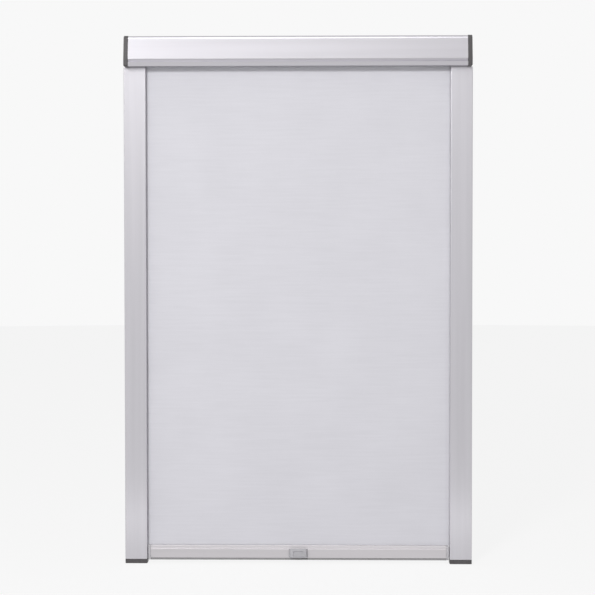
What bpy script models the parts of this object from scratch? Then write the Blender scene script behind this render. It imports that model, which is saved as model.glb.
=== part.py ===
# Blackout roller blind for a roof window: an aluminium cassette with a spring roller,
# two side rails, a blackout cloth, and a bottom bar whose glides run in the rails.
# Units are metres. +Z is up, +X is to the right and the room is on the -Y side.
# The origin is the middle of the cassette's back face.

import bpy
import bmesh
from math import acos, asin, atan2, ceil, copysign, cos, pi, radians, sin, tan, tau
from mathutils import Matrix, Vector

# Overall size, over the rails and from the caps' top to the feet
blind_width = 0.613
blind_height = 0.930

# Gap between pieces that touch, and between pieces that move past each other
seat = 0.0003
running = 0.0006

# Cassette
cassette_height = 0.053
cassette_depth = 0.040
cassette_lean = 0.0075
cassette_wall = 0.0013
cassette_top_radius = 0.0075
cassette_corner_radius = 0.0020
lip_height = 0.0067
lip_proud = 0.00012
lip_lean = 0.0018
groove_height = 0.0053
groove_depth = 0.0034
slot_to_back = 0.0040
cloth_slot = 0.0090
slot_lip = 0.0050
port_bore = 0.0015
port_wall = 0.0012
port_sunk = 0.0003
port_opening = 80

# End caps and their screws
cap_thickness = 0.0075
cap_proud = 0.0005
cap_inset = 0.0020
cap_edge_radius = 0.0015
cap_tongue_length = 0.0060
cap_tongue_wall = 0.0016
cap_prong_length = 0.0105
cap_root = 0.0010
boss_radius = 0.0065
boss_length = 0.0040
socket_y = -0.0090
socket_height = 0.0140
socket_width = 0.0100
socket_depth = 0.0046
screw_radius = 0.0012
screw_length = 0.0120
screw_tip_radius = 0.0006
screw_head_radius = 0.0025
screw_head_height = 0.0016
screw_head_edge = 0.0010
screw_head_flat = 0.00175
screw_head_recess = 0.0030
cross_length = 0.0030
cross_width = 0.0007
cross_depth = 0.0009

# Side rails
rail_width = 0.039
rail_depth = 0.020
rail_wall = 0.0014
rail_crown = 0.0006
rail_edge_radius = 0.0022
rail_slot = 0.0062
rail_hole_radius = 0.0018
rail_hole_sink = 0.0010
rail_hole_end = 0.095
foot_height = 0.0075
foot_edge_radius = 0.0005
foot_prong_length = 0.0100
prong_depth = 0.0051
prong_radius = 0.0012

# Cloth
cloth_thickness = 0.00036
cloth_to_back = 0.0080
cloth_tuck = 0.0140
turn_gap = 0.00045
spare_turns = 2.25
tuck_radius = 0.0009

# Roller
roller_height = 0.0020
roll_to_front = 0.0027
tube_wall = 0.0008
tube_to_cap = 0.0070
keder_groove_width = 0.0032
keder_groove_depth = 0.0024
keder_radius = 0.0008
keder_offset = 0.0005
plug_flange = 0.0015
plug_chamfer = 0.0006
pin_chamfer = 0.0004
idle_plug_length = 0.0180
pin_radius = 0.0020
pin_in_plug = 0.0120
pin_in_cap = 0.0070
bush_wall = 0.0014
bearing_plug_length = 0.0140
driver_length = 0.0160
shaft_radius = 0.0025
shaft_tang = 0.0030
tang_length = 0.0060
tang_shoulder = 0.0020
collar_over_spring = 0.0003
collar_step = 0.0004
collar_length = 0.0080
clip_radius = 0.0040
clip_thickness = 0.0010
shaft_tip = 0.0015
spring_length = 0.220
spring_wire = 0.0012
spring_curls = 30

# Bottom bar
bar_height = 0.0230
bar_wall = 0.0011
bar_front_depth = 0.0042
bar_back_depth = 0.0040
bar_ridge = 0.0024
bar_ridge_drop = 0.0052
bar_ridge_rise = 0.0012
bar_slope = 0.0022
bar_edge_radius = 0.0014
bar_ridge_fillet = 0.0005
bar_web_drop = 0.0080
bar_lip = 0.0030
bar_cloth_slot = 0.0024
hem_rod_radius = 0.0016
seal_height = 0.0033
seal_below_rails = 0.0026
seal_stem = 0.0012
seal_head = 0.0032
seal_head_height = 0.0010
seal_set_back = 0.0005
seal_edge_radius = 0.0005
hem_short = 0.0010
top_stop_gap = 0.0020

# Glides at the bar's ends
collar_width = 0.0040
collar_to_rail = 0.0012
glide_tongue_length = 0.0300
glide_tongue_front = 0.0109
glide_head_height = 0.0190
head_rise = 0.0010
head_radius = 0.0025
pad_height = 0.0120
pad_width = 0.0070
pad_thickness = 0.0022
pad_pocket = 0.0046
pad_radius = 0.0005
leaf_thickness = 0.0004
leaf_width = 0.0060
leaf_short = 0.0008

# Pull handle
handle_width = 0.0346
handle_draft = 0.36
handle_height = 0.0158
handle_top_depth = 0.0065
handle_bottom_depth = 0.0091
handle_edge_radius = 0.0010
handle_nose_radius = 0.0018
handle_nose_height = 0.0030
handle_nose_back = 0.0009
handle_over_ridge = 0.0008
recess_width = 0.0180
recess_height = 0.0093
recess_back = 0.0045
recess_lip = 0.0032
recess_radius = 0.0012
tenon_width = 0.0140
tenon_height = 0.0048
tenon_length = 0.0020
tenon_barb = 0.0006

# Sides of round and of small round pieces, and steps in a rounded corner, along a port's
# wall, across the rails' crown, along a curl of spring, a turn of cloth and a leaf spring
round_sides = 36
small_sides = 20
corner_steps = 5
port_steps = 14
crown_steps = 10
curl_steps = 9
turn_steps = 30
leaf_steps = 10

# Most of a straight run that a rounded corner may take, and the finest weld of two points
run_share = 0.48
weld = 0.000002

# Places that follow from the sizes
half_width = blind_width / 2
cap_top = cassette_height / 2 + cap_proud
blind_foot = cap_top - blind_height
cassette_foot = -cassette_height / 2
lip_top = cassette_foot + lip_height
groove_top = lip_top + groove_height
cap_outer = half_width - cap_inset
cap_inner = cap_outer - cap_thickness
cassette_end = cap_inner - seat
rail_inner = half_width - rail_width
rail_face = rail_depth - rail_crown
rail_top = -cap_top - seat
rail_foot = blind_foot + foot_height + seat
cloth_y = -cloth_to_back
cloth_half = rail_inner + cloth_tuck
front_top = -(cassette_depth - cassette_lean)
face_foot = -cassette_depth + lip_proud

# The roller fills the space between the cloth's way down and the leaning front. The
# spring lies midway between the shaft and the tube's groove.
roller_z = roller_height
front_share = (-cassette_foot - roller_z) / (-cassette_foot - groove_top)
front_inside = front_top + (face_foot - front_top) * front_share + cassette_wall
exit_radius = (cloth_y - front_inside - roll_to_front) / 2
roller_y = cloth_y - exit_radius
turn_pitch = cloth_thickness + turn_gap
tube_radius = exit_radius - turn_gap - cloth_thickness / 2 - spare_turns * turn_pitch
tube_end = cap_inner - tube_to_cap
tube_bore = tube_radius - tube_wall
plug_radius = tube_bore - seat
groove_floor = tube_radius - keder_groove_depth
spring_radius = (shaft_radius + groove_floor - tube_wall) / 2
collar_radius = spring_radius + spring_wire / 2 + collar_over_spring

# Bottom bar
seal_foot = rail_foot - seal_below_rails
bar_foot = seal_foot + seal_height
bar_top = bar_foot + bar_height
bar_front = cloth_y - bar_front_depth
bar_back = cloth_y + bar_back_depth
bar_ridge_y = bar_front - bar_ridge
bar_ridge_z = bar_top - bar_ridge_drop - bar_ridge_rise
bar_web_z = bar_top - bar_web_drop
glide_end = rail_inner - collar_to_rail
bar_end = glide_end - collar_width - seat
bar_travel = -cap_top - top_stop_gap - bar_top

# Matrices that lay a drawing (across, up, deep) along the blind's own axes
SIDE_VIEW = Matrix(((0, 0, 1, 0), (1, 0, 0, 0), (0, 1, 0, 0), (0, 0, 0, 1)))
TOP_VIEW = Matrix.Identity(4)
FRONT_VIEW = Matrix(((1, 0, 0, 0), (0, 0, -1, 0), (0, 1, 0, 0), (0, 0, 0, 1)))


for old in list(bpy.data.objects):
    bpy.data.objects.remove(old, do_unlink=True)

blind = bpy.data.collections.new("roller_blind")
cutters = bpy.data.collections.new("cutters")
bpy.context.scene.collection.children.link(blind)
bpy.context.scene.collection.children.link(cutters)


def finish(name, colour, roughness, metallic=0.0):
    """A material with one colour."""
    made = bpy.data.materials.new(name)
    made.use_nodes = True
    shader = made.node_tree.nodes["Principled BSDF"]
    shader.inputs["Base Color"].default_value = (*colour, 1.0)
    shader.inputs["Roughness"].default_value = roughness
    shader.inputs["Metallic"].default_value = metallic
    return made


def rounded(corners, closed=False, least=0.0, steps=corner_steps):
    """A path through (across, up, radius) corners, each turned by an arc.

    A radius is limited by the straight runs beside it, and a corner whose radius
    would be under the least one stays sharp.
    """
    count = len(corners)
    path = []
    for index, (across, up, radius) in enumerate(corners):
        at = Vector((across, up))
        if radius <= 0 or (not closed and index in (0, count - 1)):
            path.append(at)
            continue
        back = Vector(corners[index - 1][:2]) - at
        on = Vector(corners[(index + 1) % count][:2]) - at
        half = back.angle(on) / 2
        reach = min(radius / tan(half), run_share * back.length, run_share * on.length)
        radius = reach * tan(half)
        if radius < least:
            path.append(at)
            continue
        centre = at + (back.normalized() + on.normalized()).normalized() * radius / sin(half)
        first = at + back.normalized() * reach - centre
        last = at + on.normalized() * reach - centre
        start = atan2(first.y, first.x)
        sweep = (atan2(last.y, last.x) - start + pi) % tau - pi
        for step in range(steps + 1):
            turn = start + sweep * step / steps
            path.append(centre + Vector((cos(turn), sin(turn))) * radius)
    return path


def arc(centre, radius, start, sweep, steps):
    """Points of an arc, from its start angle through its sweep."""
    turns = [start + sweep * step / steps for step in range(steps + 1)]
    return [Vector((centre[0] + radius * cos(t), centre[1] + radius * sin(t))) for t in turns]


def inset(corners, distance):
    """The corners of an open path with every run moved to its left by a distance."""
    moved = []
    for index, (across, up, radius) in enumerate(corners):
        at = Vector((across, up))
        beside = corners[max(index - 1, 0) : index + 2]
        runs = [Vector(b[:2]) - Vector(a[:2]) for a, b in zip(beside, beside[1:])]
        lefts = [Vector((-run.y, run.x)).normalized() for run in runs]
        middle = (lefts[0] + lefts[-1]).normalized()
        at += middle * distance / middle.dot(lefts[0])
        moved.append((at.x, at.y, max(radius - distance, 0)))
    return moved


def bulge(share):
    """A rise from 0 at the ends to 1 in the middle."""
    return 1 - (2 * share - 1) ** 2


def rectangle(low, high, radius=0.0):
    """A closed rectangle between two corners, with rounded corners."""
    corners = [
        (low[0], low[1], radius),
        (high[0], low[1], radius),
        (high[0], high[1], radius),
        (low[0], high[1], radius),
    ]
    return rounded(corners, closed=True)


def add_object(name, data, material, group=None):
    made = bpy.data.objects.new(name, data)
    (group or blind).objects.link(made)
    if material:
        data.materials.clear()
        data.materials.append(material)
    return made


def smooth(made, angle=35):
    """Smooth shading with sharp edges where the surface turns by more than the angle."""
    made.data.shade_smooth()
    made.data.set_sharp_from_angle(angle=radians(angle))


def evaluated_mesh(made, name):
    """A plain mesh of an object as its modifiers leave it, in world space."""
    bpy.context.view_layer.update()
    graph = bpy.context.evaluated_depsgraph_get()
    mesh = bpy.data.meshes.new_from_object(made.evaluated_get(graph))
    mesh.name = name
    mesh.transform(made.matrix_world)
    return mesh


def mirrored(made, name):
    """The same piece for the blind's other side."""
    mesh = evaluated_mesh(made, name)
    mesh.transform(Matrix.Scale(-1, 4, (1, 0, 0)))
    mesh.flip_normals()
    return add_object(name, mesh, made.data.materials[0])


def prism(name, outline, view, start, end, material=None, group=None):
    """A flat outline, filled and extruded from start to end along the view's depth."""
    curve = bpy.data.curves.new(name, "CURVE")
    curve.dimensions = "2D"
    curve.fill_mode = "BOTH"
    curve.extrude = (end - start) / 2
    spline = curve.splines.new("POLY")
    spline.points.add(len(outline) - 1)
    for point, (across, up) in zip(spline.points, outline):
        point.co = (across, up, 0, 1)
    spline.use_cyclic_u = True
    drawn = bpy.data.objects.new(name + "_outline", curve)
    bpy.context.scene.collection.objects.link(drawn)
    drawn.matrix_world = view @ Matrix.Translation((0, 0, (start + end) / 2))
    mesh = evaluated_mesh(drawn, name)
    bpy.data.objects.remove(drawn, do_unlink=True)
    solid = bmesh.new()
    solid.from_mesh(mesh)
    bmesh.ops.remove_doubles(solid, verts=solid.verts, dist=weld)
    bmesh.ops.dissolve_limit(
        solid, angle_limit=radians(0.2), verts=solid.verts, edges=solid.edges
    )
    bmesh.ops.recalc_face_normals(solid, faces=solid.faces)
    solid.to_mesh(mesh)
    solid.free()
    return add_object(name, mesh, material, group)


def folded_wall(name, path, view, start, end, wall, material=None, group=None, closed=False):
    """A wall of even thickness on the left of a path, from start to end."""
    sheet = bmesh.new()
    verts = [sheet.verts.new((across, up, start)) for across, up in path]
    ahead = verts[1:] + verts[:1] if closed else verts[1:]
    edges = [sheet.edges.new(pair) for pair in zip(verts, ahead)]
    grown = bmesh.ops.extrude_edge_only(sheet, edges=edges)["geom"]
    far = [item for item in grown if isinstance(item, bmesh.types.BMVert)]
    bmesh.ops.translate(sheet, verts=far, vec=(0, 0, end - start))
    bmesh.ops.recalc_face_normals(sheet, faces=sheet.faces)
    run = path[1] - path[0]
    if edges[0].link_faces[0].normal.dot(Vector((run.y, -run.x, 0))) < 0:
        bmesh.ops.reverse_faces(sheet, faces=sheet.faces)
    bmesh.ops.transform(sheet, matrix=view, verts=sheet.verts)
    mesh = bpy.data.meshes.new(name)
    sheet.to_mesh(mesh)
    sheet.free()
    made = add_object(name, mesh, material, group)
    thicken = made.modifiers.new("wall", "SOLIDIFY")
    thicken.thickness = wall
    thicken.offset = -1
    thicken.use_even_offset = True
    return made


def turned(name, profile, material=None, group=None, closed=False, axis=None, sides=round_sides):
    """A (radius, x) profile, from left to right along its outer side, turned about X.

    The axis is the roller's, or else the given (y, z).
    """
    outline = bmesh.new()
    verts = [outline.verts.new((radius, 0, -along)) for radius, along in profile]
    ahead = verts[1:] + verts[:1] if closed else verts[1:]
    for pair in zip(verts, ahead):
        outline.edges.new(pair)
    mesh = bpy.data.meshes.new(name)
    outline.to_mesh(mesh)
    outline.free()
    made = add_object(name, mesh, material, group)
    made.location = (0, *(axis or (roller_y, roller_z)))
    made.rotation_euler = (0, -pi / 2, 0)
    screw = made.modifiers.new("turn", "SCREW")
    screw.axis = "Z"
    screw.angle = tau
    screw.steps = screw.render_steps = sides
    screw.use_merge_vertices = True
    screw.merge_threshold = weld
    return made


def box(name, low, high, material=None, group=None):
    """A box between two corners."""
    solid = bmesh.new()
    bmesh.ops.create_cube(solid, size=1)
    size = Vector(high) - Vector(low)
    centre = (Vector(high) + Vector(low)) / 2
    bmesh.ops.scale(solid, verts=solid.verts, vec=size)
    bmesh.ops.translate(solid, verts=solid.verts, vec=centre)
    mesh = bpy.data.meshes.new(name)
    solid.to_mesh(mesh)
    solid.free()
    return add_object(name, mesh, material, group)


def hide(cutter):
    """A cutter stays out of the model."""
    cutter.hide_render = True
    cutter.display_type = "WIRE"
    return cutter


def combine(made, other, operation):
    """Join another solid to an object, or cut it away."""
    hide(other)
    boolean = made.modifiers.new(other.name, "BOOLEAN")
    boolean.operation = operation
    boolean.object = other
    boolean.solver = "EXACT"


def bevelled(made, radius, picked, segments=3):
    """Round the edges that a test of their two ends picks."""
    solid = bmesh.new()
    solid.from_mesh(made.data)
    edges = [edge for edge in solid.edges if picked(*(vert.co for vert in edge.verts))]
    bmesh.ops.bevel(
        solid,
        geom=edges,
        offset=radius,
        segments=segments,
        profile=0.5,
        affect="EDGES",
        clamp_overlap=True,
    )
    solid.to_mesh(made.data)
    solid.free()


# Materials
satin_aluminium = finish("satin_aluminium", (0.74, 0.74, 0.76), 0.38, 0.85)
mill_aluminium = finish("mill_aluminium", (0.70, 0.70, 0.72), 0.32, 0.95)
dark_plastic = finish("dark_plastic", (0.115, 0.110, 0.112), 0.55)
grey_plastic = finish("grey_plastic", (0.36, 0.355, 0.37), 0.50)
white_nylon = finish("white_nylon", (0.80, 0.80, 0.78), 0.45)
grey_rubber = finish("grey_rubber", (0.24, 0.235, 0.24), 0.75)
steel = finish("steel", (0.56, 0.57, 0.58), 0.30, 1.0)
spring_steel = finish("spring_steel", (0.33, 0.33, 0.35), 0.35, 1.0)
pale_cloth = finish("pale_cloth", (0.70, 0.69, 0.74), 0.85)
felt = finish("felt", (0.06, 0.06, 0.065), 0.95)


# Cassette: one extruded wall that runs from the cloth slot's back edge round the
# back, top, leaning front and undercut groove to the slot's front edge.
slot_back = -slot_to_back
slot_front = -(slot_to_back + cloth_slot)
cassette_path = rounded(
    [
        (slot_back, cassette_foot + slot_lip, 0),
        (slot_back, cassette_foot, cassette_corner_radius),
        (0, cassette_foot, 0),
        (0, -cassette_foot, 0),
        (front_top, -cassette_foot, cassette_top_radius),
        (face_foot, groove_top, 0),
        (face_foot + groove_depth, lip_top, 0),
        (-cassette_depth, lip_top, 0),
        (-cassette_depth + lip_lean, cassette_foot, 0),
        (slot_front, cassette_foot, cassette_corner_radius),
        (slot_front, cassette_foot + slot_lip, 0),
    ],
    least=cassette_wall,
)
cassette = folded_wall(
    "cassette_profile", cassette_path, SIDE_VIEW, -cassette_end, cassette_end, cassette_wall,
    satin_aluminium,
)

# Two screw ports run along the cassette in opposite corners, open towards its inside.
port_radius = port_bore + port_wall
port_reach = cassette_wall + port_radius - port_sunk
port_gap = radians(port_opening)
ports = {
    "upper": ((-port_reach, -cassette_foot - port_reach), radians(225)),
    "lower": ((port_reach - cassette_depth, cassette_foot + port_reach), radians(45)),
}
for place, (centre, faces) in ports.items():
    port_path = arc(centre, port_radius, faces + port_gap / 2, tau - port_gap, port_steps)
    port = folded_wall(
        "port_" + place, port_path, SIDE_VIEW, -cassette_end, cassette_end, port_wall,
        group=cutters,
    )
    combine(cassette, port, "UNION")


# End caps: a plate with the cassette's outline, slightly proud of it. Inside it has a
# tongue that fits the profile and a boss for the roller, and below it a prong that
# goes down into the rail. The sash bracket hooks into a socket in its outer face.
cap_outline = rounded(
    [
        (0, -cap_top, 0),
        (0, cap_top, cap_edge_radius),
        (front_top - cap_proud, cap_top, cassette_top_radius + cap_proud),
        (face_foot - cap_proud, groove_top, cassette_top_radius),
        (-cassette_depth - cap_proud, -cap_top, cassette_corner_radius + cap_proud),
    ],
    closed=True,
)
cap = prism("end_cap_right", cap_outline, SIDE_VIEW, cap_inner, cap_outer, dark_plastic)
bevelled(
    cap,
    cap_edge_radius,
    lambda a, b: min(a.x, b.x) > cap_outer - seat / 2 and min(a.y, b.y) < -seat,
)

# The tongue follows the inside of the profile from behind the upper port, round the
# top edge and down to the middle of the leaning face.
tongue_path = rounded(
    inset(
        [
            (-2 * port_reach, -cassette_foot, 0),
            (front_top, -cassette_foot, cassette_top_radius),
            ((front_top + face_foot) / 2, (groove_top - cassette_foot) / 2, 0),
        ],
        cassette_wall + seat,
    )
)
tongue = folded_wall(
    "cap_tongue", tongue_path, SIDE_VIEW, cap_inner - cap_tongue_length, cap_inner + cap_root,
    cap_tongue_wall, group=cutters,
)
combine(cap, tongue, "UNION")
boss = turned(
    "cap_boss",
    [
        (0, cap_inner - boss_length),
        (boss_radius, cap_inner - boss_length),
        (boss_radius, cap_inner + cap_root),
        (0, cap_inner + cap_root),
    ],
    group=cutters,
)
combine(cap, boss, "UNION")
prong_front = rail_wall + seat - rail_face
prong_back = prong_front + prong_depth
cap_prong = prism(
    "cap_prong",
    rectangle(
        (cap_inner + running, prong_front),
        (min(cap_outer, half_width - rail_wall) - running, prong_back),
        prong_radius,
    ),
    TOP_VIEW, rail_top - cap_prong_length, cap_root - cap_top, group=cutters,
)
combine(cap, cap_prong, "UNION")

screw_seat = cap_outer - screw_head_recess
for place, (centre, _) in ports.items():
    hole = turned(
        "screw_hole_" + place,
        [
            (0, cap_inner - cap_root),
            (screw_radius + seat, cap_inner - cap_root),
            (screw_radius + seat, screw_seat),
            (screw_head_radius + seat, screw_seat),
            (screw_head_radius + seat, cap_outer + cap_root),
            (0, cap_outer + cap_root),
        ],
        group=cutters, axis=centre,
    )
    combine(cap, hole, "DIFFERENCE")
socket = prism(
    "bracket_socket",
    rectangle(
        (socket_y - socket_width / 2, -socket_height / 2),
        (socket_y + socket_width / 2, socket_height / 2),
        cap_edge_radius,
    ),
    SIDE_VIEW, cap_outer - socket_depth, cap_outer + cap_root, group=cutters,
)
combine(cap, socket, "DIFFERENCE")
left_cap = mirrored(cap, "end_cap_left")

# The right cap's boss holds the shaft's flat tang, and the left one's the bush.
boss_face = cap_inner - boss_length
tang_end = boss_face + tang_length
tang_socket = box(
    "tang_socket",
    (boss_face - cap_root, roller_y - shaft_radius - seat, roller_z - shaft_tang / 2 - seat),
    (tang_end + seat, roller_y + shaft_radius + seat, roller_z + shaft_tang / 2 + seat),
    group=cutters,
)
combine(cap, tang_socket, "DIFFERENCE")
pin_end = boss_face + pin_in_cap
bush_radius = pin_radius + seat + bush_wall
bush_bore = turned(
    "bush_bore",
    [
        (0, -pin_end - 2 * seat),
        (bush_radius + seat, -pin_end - 2 * seat),
        (bush_radius + seat, cap_root - boss_face),
        (0, cap_root - boss_face),
    ],
    group=cutters,
)
combine(left_cap, bush_bore, "DIFFERENCE")


# Cap screws: pan heads with a cross recess, sunk into the caps
for place, (centre, _) in ports.items():
    head_under = screw_seat + seat
    head_top = head_under + screw_head_height
    screw = turned(
        "cap_screw_right_" + place,
        [
            (0, head_under - screw_length),
            (screw_tip_radius, head_under - screw_length),
            (screw_radius, head_under - screw_length + screw_radius),
            (screw_radius, head_under),
            (screw_head_radius, head_under),
            (screw_head_radius, head_top - screw_head_edge),
            (screw_head_flat, head_top),
            (0, head_top),
        ],
        steel, axis=centre, sides=small_sides,
    )
    for across, up in ((cross_length, cross_width), (cross_width, cross_length)):
        cut = box(
            f"screw_cross_{place}_{'flat' if across > up else 'upright'}",
            (head_top - cross_depth, centre[0] - across / 2, centre[1] - up / 2),
            (head_top + cap_root, centre[0] + across / 2, centre[1] + up / 2),
            group=cutters,
        )
        combine(screw, cut, "DIFFERENCE")
    mirrored(screw, "cap_screw_left_" + place)


# Side rails: a channel with a slightly crowned face, open along its inner edge, where
# the cloth and the bar's glides go in. Three countersunk holes for the sash screws.
slot_half = rail_slot / 2
crown = [
    (rail_inner + rail_width * k / crown_steps, -rail_face - rail_crown * bulge(k / crown_steps), 0)
    for k in range(1, crown_steps)
]
rail_face_corners = [
    (rail_inner, -rail_face, rail_edge_radius),
    *crown,
    (half_width, -rail_face, rail_edge_radius),
]
rail_path = rounded(
    [
        (rail_inner, cloth_y - slot_half, 0),
        *rail_face_corners,
        (half_width, 0, 0),
        (rail_inner, 0, 0),
        (rail_inner, cloth_y + slot_half, 0),
    ],
    least=rail_wall,
)
rail = folded_wall(
    "rail_right", rail_path, TOP_VIEW, rail_foot, rail_top, rail_wall, satin_aluminium
)
wall_inside = half_width - rail_wall
hole_heights = (
    rail_top - rail_hole_end,
    (rail_top + rail_foot) / 2,
    rail_foot + rail_hole_end,
)
for number, height in enumerate(hole_heights, 1):
    hole = turned(
        f"rail_hole_{number}",
        [
            (0, wall_inside - cap_root),
            (rail_hole_radius + rail_hole_sink, wall_inside - cap_root),
            (rail_hole_radius + rail_hole_sink, wall_inside),
            (rail_hole_radius, wall_inside + rail_hole_sink),
            (rail_hole_radius, half_width + cap_root),
            (0, half_width + cap_root),
        ],
        group=cutters, axis=(cloth_y, height), sides=small_sides,
    )
    combine(rail, hole, "DIFFERENCE")
mirrored(rail, "rail_left")


# Rail feet: plastic caps with the rail's outline and a prong that pushes into it
foot_outline = rounded(
    [*rail_face_corners, (half_width, 0, 0), (rail_inner, 0, 0)], closed=True
)
foot = prism(
    "rail_foot_right", foot_outline, TOP_VIEW, blind_foot, blind_foot + foot_height, dark_plastic
)
bevelled(foot, foot_edge_radius, lambda a, b: max(a.z, b.z) < blind_foot + seat / 2, 2)
foot_prong = prism(
    "foot_prong",
    rectangle(
        (rail_inner + rail_wall + running, prong_front),
        (half_width - rail_wall - running, prong_back),
        prong_radius,
    ),
    TOP_VIEW, blind_foot + foot_height - cap_root, rail_foot + foot_prong_length, group=cutters,
)
combine(foot, foot_prong, "UNION")
mirrored(foot, "rail_foot_left")


# Roller tube: a drawn tube with a groove along its top that holds the cloth's keder
tube_side = acos(keder_groove_width / 2 / tube_radius)
tube_path = arc((0, 0), tube_radius, pi - tube_side, pi + 2 * tube_side, round_sides) + [
    Vector((keder_groove_width / 2, groove_floor)),
    Vector((-keder_groove_width / 2, groove_floor)),
]
tube_path = [point + Vector((roller_y, roller_z)) for point in tube_path]
folded_wall(
    "roller_tube", tube_path, SIDE_VIEW, -tube_end, tube_end, tube_wall, mill_aluminium, closed=True
)

# Cloth winding: the spare turns that stay on the tube. Its outer end is where the
# cloth leaves the roller, at the back, and its inner end goes down into the groove.
tail_y = keder_radius + seat - keder_offset
last_turn = spare_turns * tau - 2 * (tail_y + cloth_thickness) / tube_radius


def turns_of_cloth(steps_per_turn):
    """Points of the winding's outer side, from where the cloth leaves it inwards."""
    steps = ceil(last_turn / tau * steps_per_turn)
    points = []
    for step in range(steps + 1):
        turn = last_turn * step / steps
        reach = exit_radius + cloth_thickness / 2 - turn_pitch * turn / tau
        points.append(Vector((reach * cos(turn), reach * sin(turn))))
    return points


tail_top = tube_radius + turn_gap + cloth_thickness
winding_path = rounded(
    [
        *((*point, 0) for point in turns_of_cloth(turn_steps)),
        (tail_y, tail_top, tuck_radius),
        (tail_y, groove_floor + seat, 0),
    ],
    least=cloth_thickness,
)
winding_path = [point + Vector((roller_y, roller_z)) for point in winding_path]
folded_wall(
    "fabric_winding", winding_path, SIDE_VIEW, -cloth_half, cloth_half, cloth_thickness, pale_cloth
)
turned(
    "fabric_keder",
    [(0, -cloth_half), (keder_radius, -cloth_half), (keder_radius, cloth_half), (0, cloth_half)],
    white_nylon,
    axis=(roller_y - keder_offset, roller_z + groove_floor + seat + keder_radius),
    sides=small_sides,
)

# A channel along the plugs clears the groove's wall inside the tube.
keyway_half = keder_groove_width / 2 + tube_wall + seat
keyway_floor = groove_floor - tube_wall - seat
keyway = box(
    "keyway",
    (-tube_end - seat / 2, roller_y - keyway_half, roller_z + keyway_floor),
    (tube_end + seat / 2, roller_y + keyway_half, roller_z + tube_radius + cap_root),
    group=cutters,
)

# Idle plug and its steel pin, which turns in a bush in the left cap
flange_out = tube_end + seat + plug_flange
pin_start = tube_end - pin_in_plug
idle_plug = turned(
    "idle_plug",
    [
        (pin_radius + seat, -flange_out),
        (tube_radius, -flange_out),
        (tube_radius, -tube_end - seat),
        (plug_radius, -tube_end - seat),
        (plug_radius, idle_plug_length - plug_chamfer - tube_end),
        (plug_radius - plug_chamfer, idle_plug_length - tube_end),
        (pin_radius + seat, idle_plug_length - tube_end),
    ],
    dark_plastic, closed=True,
)
combine(idle_plug, keyway, "DIFFERENCE")
turned(
    "idle_pin",
    [
        (0, -pin_end),
        (pin_radius - pin_chamfer, -pin_end),
        (pin_radius, pin_chamfer - pin_end),
        (pin_radius, -pin_start),
        (0, -pin_start),
    ],
    steel, sides=small_sides,
)
turned(
    "idle_bush",
    [
        (pin_radius + seat, -pin_end - seat),
        (bush_radius, -pin_end - seat),
        (bush_radius, seat - boss_face),
        (pin_radius + seat, seat - boss_face),
    ],
    white_nylon, closed=True, sides=small_sides,
)

# Bearing plug: carries the tube's right end on the fixed shaft
bearing_inside = tube_end - bearing_plug_length
bearing_plug = turned(
    "bearing_plug",
    [
        (shaft_radius + seat, bearing_inside),
        (plug_radius - plug_chamfer, bearing_inside),
        (plug_radius, bearing_inside + plug_chamfer),
        (plug_radius, tube_end + seat),
        (tube_radius, tube_end + seat),
        (tube_radius, flange_out),
        (shaft_radius + seat, flange_out),
    ],
    dark_plastic, closed=True,
)
combine(bearing_plug, keyway, "DIFFERENCE")

# Spring: from the collar on the shaft to the driver in the tube, one unbroken wire
collar_right = bearing_inside - running
collar_left = collar_right - collar_length
spring_right = collar_left - seat
spring_left = spring_right - spring_length
driver_right = spring_left - seat
driver_left = driver_right - driver_length
clip_right = driver_left - running
shaft_left = clip_right - clip_thickness - shaft_tip

shaft = turned(
    "spring_shaft",
    [
        (0, shaft_left),
        (shaft_radius - pin_chamfer, shaft_left),
        (shaft_radius, shaft_left + pin_chamfer),
        (shaft_radius, tang_end),
        (0, tang_end),
    ],
    steel, sides=small_sides,
)
for side in (-1, 1):
    flat = box(
        "tang_flat_" + ("lower" if side < 0 else "upper"),
        (
            boss_face - tang_shoulder,
            roller_y - 2 * shaft_radius,
            roller_z + min(side * shaft_tang / 2, side * 2 * shaft_radius),
        ),
        (
            tang_end + cap_root,
            roller_y + 2 * shaft_radius,
            roller_z + max(side * shaft_tang / 2, side * 2 * shaft_radius),
        ),
        group=cutters,
    )
    combine(shaft, flat, "DIFFERENCE")

turned(
    "shaft_collar",
    [
        (shaft_radius + seat, collar_left),
        (collar_radius, collar_left),
        (collar_radius, collar_left + collar_length / 2),
        (collar_radius - collar_step, collar_left + collar_length / 2),
        (collar_radius - collar_step, collar_right),
        (shaft_radius + seat, collar_right),
    ],
    steel, closed=True,
)
driver = turned(
    "spring_driver",
    [
        (shaft_radius + seat, driver_left),
        (plug_radius - plug_chamfer, driver_left),
        (plug_radius, driver_left + plug_chamfer),
        (plug_radius, driver_right - plug_chamfer),
        (plug_radius - plug_chamfer, driver_right),
        (shaft_radius + seat, driver_right),
    ],
    dark_plastic, closed=True,
)
combine(driver, keyway, "DIFFERENCE")
turned(
    "shaft_clip",
    [
        (shaft_radius + seat, clip_right - clip_thickness),
        (clip_radius, clip_right - clip_thickness),
        (clip_radius, clip_right),
        (shaft_radius + seat, clip_right),
    ],
    spring_steel, closed=True, sides=small_sides,
)


def least_gap(points, thickness, apart):
    """The least clear gap between stretches of a wire that are some points apart."""
    return min(
        (here - there).length - thickness
        for index, here in enumerate(points)
        for there in points[index + apart :]
    )


def wire(name, points, thickness, material):
    """A round wire through its points."""
    curve = bpy.data.curves.new(name, "CURVE")
    curve.dimensions = "3D"
    curve.bevel_depth = thickness / 2
    curve.bevel_resolution = 1
    curve.use_fill_caps = True
    spline = curve.splines.new("POLY")
    spline.points.add(len(points) - 1)
    for point, place in zip(spline.points, points):
        point.co = (*place, 1)
    return add_object(name, curve, material)


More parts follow.
